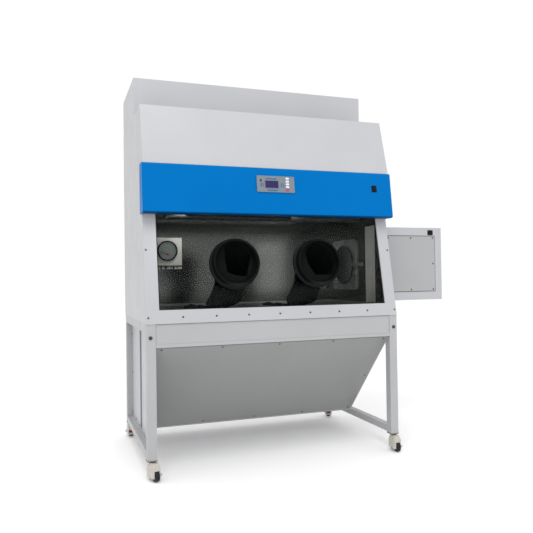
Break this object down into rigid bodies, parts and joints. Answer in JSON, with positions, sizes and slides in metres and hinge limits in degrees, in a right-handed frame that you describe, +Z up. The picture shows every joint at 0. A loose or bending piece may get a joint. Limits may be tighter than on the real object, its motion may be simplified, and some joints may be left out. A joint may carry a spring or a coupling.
{
  "type": "laboratory glove box",
  "caption": "White sealed glove box with leaning window, two glove ports, blue control band and side pass box, on a castored stand.",
  "frame": {"origin": "centre of the whole object's footprint, on the floor", "axes": "+Z up, +X to the user's right towards the pass box, +Y towards the back"},
  "size_m": [2.13, 1.062, 2.3],
  "materials": {
    "white_paint": "satin powder coat",
    "grey_paint": "satin powder coat",
    "blue_paint": "gloss powder coat",
    "stainless": "brushed",
    "clear_glass": "toughened, clear",
    "black_plastic": "moulded",
    "black_rubber": "satin sheet rubber",
    "ivory_plastic": "moulded",
    "red_plastic": "moulded",
    "castor_tread": "cast tread",
    "white_button": "moulded",
    "red_button": "moulded",
    "panel_grey": "printed film",
    "filter_media": "filter cassette",
    "lamp_glass": "opal tube",
    "beige_plate": "satin powder coat",
    "needle_red": "satin",
    "screw_steel": "zinc plated"
  },
  "bodies": {
    "root": {"stand_frame": "white_paint", "front_apron": "white_paint", "sump_panel": "grey_paint", "sump_shell": "white_paint", "side_cover": "white_paint", "left_side_panel": "white_paint", "right_side_panel": "white_paint", "rear_panel": "white_paint", "roof_panel": "white_paint", "exhaust_plenum": "white_paint", "front_hood": "white_paint", "control_fascia": "blue_paint", "window_frame": "white_paint", "window_glass": "clear_glass", "chamber_liner": "stainless", "work_tray": "stainless", "lamp_tubes": "lamp_glass", "hepa_filters": "filter_media", "blower_housing": "grey_paint", "glove_port_rings": "black_plastic", "glove_clamp_bands": "black_rubber", "left_glove": "black_rubber", "right_glove": "black_rubber", "gauge_bracket": "beige_plate", "gauge_case": "black_plastic", "control_panel": "panel_grey", "switch_bezels": "black_plastic", "passbox_shell": "white_paint", "passbox_cover": "white_paint", "panel_screws": "screw_steel", "power_inlet": "black_plastic"},
    "castor_fl": {"castor_housing_fl": "ivory_plastic"},
    "wheel_fl": {"castor_wheel_fl": "castor_tread"},
    "dial_fl": {"castor_dial_fl": "red_plastic"},
    "foot_fl": {"castor_foot_fl": "screw_steel"},
    "castor_fr": {"castor_housing_fr": "ivory_plastic"},
    "wheel_fr": {"castor_wheel_fr": "castor_tread"},
    "dial_fr": {"castor_dial_fr": "red_plastic"},
    "foot_fr": {"castor_foot_fr": "screw_steel"},
    "castor_rl": {"castor_housing_rl": "ivory_plastic"},
    "wheel_rl": {"castor_wheel_rl": "castor_tread"},
    "dial_rl": {"castor_dial_rl": "red_plastic"},
    "foot_rl": {"castor_foot_rl": "screw_steel"},
    "castor_rr": {"castor_housing_rr": "ivory_plastic"},
    "wheel_rr": {"castor_wheel_rr": "castor_tread"},
    "dial_rr": {"castor_dial_rr": "red_plastic"},
    "foot_rr": {"castor_foot_rr": "screw_steel"},
    "impeller": {"blower_impeller": "stainless"},
    "needle": {"gauge_needle": "needle_red"},
    "button_1": {"button_1": "white_button"},
    "button_2": {"button_2": "white_button"},
    "button_3": {"button_3": "white_button"},
    "button_4": {"button_4": "white_button"},
    "stop_button": {"stop_button": "red_button"},
    "power_rocker": {"power_rocker": "black_plastic"},
    "passbox_rocker": {"passbox_rocker": "black_plastic"},
    "outer_door": {"outer_door": "white_paint"},
    "door_handle": {"outer_door_handle": "stainless"},
    "inner_door": {"inner_door": "stainless"},
    "inner_latch": {"inner_door_latch": "stainless"}
  },
  "joints": [
    {"name": "castor_swivel_fl", "type": "hinge", "parent": "root", "child": "castor_fl", "pos_m": [-1.033, -0.455, 0.09], "axis": [0, 0, 1], "continuous": true},
    {"name": "wheel_spin_fl", "type": "hinge", "parent": "castor_fl", "child": "wheel_fl", "pos_m": [-1.01879, -0.49875, 0.03], "axis": [0.9511, 0.309, 0], "continuous": true},
    {"name": "dial_turn_fl", "type": "hinge", "parent": "castor_fl", "child": "dial_fl", "pos_m": [-1.033, -0.455, 0.04], "axis": [0, 0, 1], "range_deg": [0, 2160]},
    {"name": "foot_travel_fl", "type": "slide", "parent": "castor_fl", "child": "foot_fl", "axis": [0, 0, -1], "range_m": [0, 0.0135]},
    {"name": "castor_swivel_fr", "type": "hinge", "parent": "root", "child": "castor_fr", "pos_m": [0.417, -0.455, 0.09], "axis": [0, 0, 1], "continuous": true},
    {"name": "wheel_spin_fr", "type": "hinge", "parent": "castor_fr", "child": "wheel_fr", "pos_m": [0.417, -0.501, 0.03], "axis": [1, 0, 0], "continuous": true},
    {"name": "dial_turn_fr", "type": "hinge", "parent": "castor_fr", "child": "dial_fr", "pos_m": [0.417, -0.455, 0.04], "axis": [0, 0, 1], "range_deg": [0, 2160]},
    {"name": "foot_travel_fr", "type": "slide", "parent": "castor_fr", "child": "foot_fr", "axis": [0, 0, -1], "range_m": [0, 0.0135]},
    {"name": "castor_swivel_rl", "type": "hinge", "parent": "root", "child": "castor_rl", "pos_m": [-1.033, 0.455, 0.09], "axis": [0, 0, 1], "continuous": true},
    {"name": "wheel_spin_rl", "type": "hinge", "parent": "castor_rl", "child": "wheel_rl", "pos_m": [-1.033, 0.501, 0.03], "axis": [-1, 0, 0], "continuous": true},
    {"name": "dial_turn_rl", "type": "hinge", "parent": "castor_rl", "child": "dial_rl", "pos_m": [-1.033, 0.455, 0.04], "axis": [0, 0, 1], "range_deg": [0, 2160]},
    {"name": "foot_travel_rl", "type": "slide", "parent": "castor_rl", "child": "foot_rl", "axis": [0, 0, -1], "range_m": [0, 0.0135]},
    {"name": "castor_swivel_rr", "type": "hinge", "parent": "root", "child": "castor_rr", "pos_m": [0.417, 0.455, 0.09], "axis": [0, 0, 1], "continuous": true},
    {"name": "wheel_spin_rr", "type": "hinge", "parent": "castor_rr", "child": "wheel_rr", "pos_m": [0.43273, 0.49823, 0.03], "axis": [-0.9397, 0.342, 0], "continuous": true},
    {"name": "dial_turn_rr", "type": "hinge", "parent": "castor_rr", "child": "dial_rr", "pos_m": [0.417, 0.455, 0.04], "axis": [0, 0, 1], "range_deg": [0, 2160]},
    {"name": "foot_travel_rr", "type": "slide", "parent": "castor_rr", "child": "foot_rr", "axis": [0, 0, -1], "range_m": [0, 0.0135]},
    {"name": "blower_spin", "type": "hinge", "parent": "root", "child": "impeller", "pos_m": [-0.308, -0.03, 1.76], "axis": [1, 0, 0], "continuous": true},
    {"name": "needle_swing", "type": "hinge", "parent": "root", "child": "needle", "pos_m": [-0.908, -0.285, 1.19], "axis": [0, 1, 0], "range_deg": [0, 140], "stiffness_Nm_per_rad": 0.001},
    {"name": "button_1_press", "type": "slide", "parent": "root", "child": "button_1", "axis": [0, 0.9925, -0.1219], "range_m": [0, 0.0012], "stiffness_N_per_m": 400},
    {"name": "button_2_press", "type": "slide", "parent": "root", "child": "button_2", "axis": [0, 0.9925, -0.1219], "range_m": [0, 0.0012], "stiffness_N_per_m": 400},
    {"name": "button_3_press", "type": "slide", "parent": "root", "child": "button_3", "axis": [0, 0.9925, -0.1219], "range_m": [0, 0.0012], "stiffness_N_per_m": 400},
    {"name": "button_4_press", "type": "slide", "parent": "root", "child": "button_4", "axis": [0, 0.9925, -0.1219], "range_m": [0, 0.0012], "stiffness_N_per_m": 400},
    {"name": "stop_button_press", "type": "slide", "parent": "root", "child": "stop_button", "axis": [0, 0.9925, -0.1219], "range_m": [0, 0.0012], "stiffness_N_per_m": 400},
    {"name": "power_rocker_tilt", "type": "hinge", "parent": "root", "child": "power_rocker", "pos_m": [0.332, -0.42856, 1.58218], "axis": [1, 0, 0], "range_deg": [-8, 8]},
    {"name": "passbox_rocker_tilt", "type": "hinge", "parent": "root", "child": "passbox_rocker", "pos_m": [0.932, -0.1315, 1.343], "axis": [0, 0, 1], "range_deg": [-8, 8]},
    {"name": "outer_door_hinge", "type": "hinge", "parent": "root", "child": "outer_door", "pos_m": [1.01, 0.382, 1.1305], "axis": [0, 0, 1], "range_deg": [0, 110]},
    {"name": "door_handle_turn", "type": "hinge", "parent": "outer_door", "child": "door_handle", "pos_m": [1.032, 0.12, 1.1305], "axis": [1, 0, 0], "range_deg": [0, 90]},
    {"name": "inner_door_hinge", "type": "hinge", "parent": "root", "child": "inner_door", "pos_m": [0.397, 0.306, 1.1305], "axis": [0, 0, -1], "range_deg": [0, 90]},
    {"name": "inner_latch_turn", "type": "hinge", "parent": "inner_door", "child": "inner_latch", "pos_m": [0.392, -0.032, 1.1305], "axis": [1, 0, 0], "range_deg": [0, 90]}
  ],
  "couplings": [
    {"joint": "foot_travel_fl", "follows": "dial_turn_fl", "m_per_rad": 0.000318},
    {"joint": "foot_travel_fr", "follows": "dial_turn_fr", "m_per_rad": 0.000318},
    {"joint": "foot_travel_rl", "follows": "dial_turn_rl", "m_per_rad": 0.000318},
    {"joint": "foot_travel_rr", "follows": "dial_turn_rr", "m_per_rad": 0.000318}
  ]
}
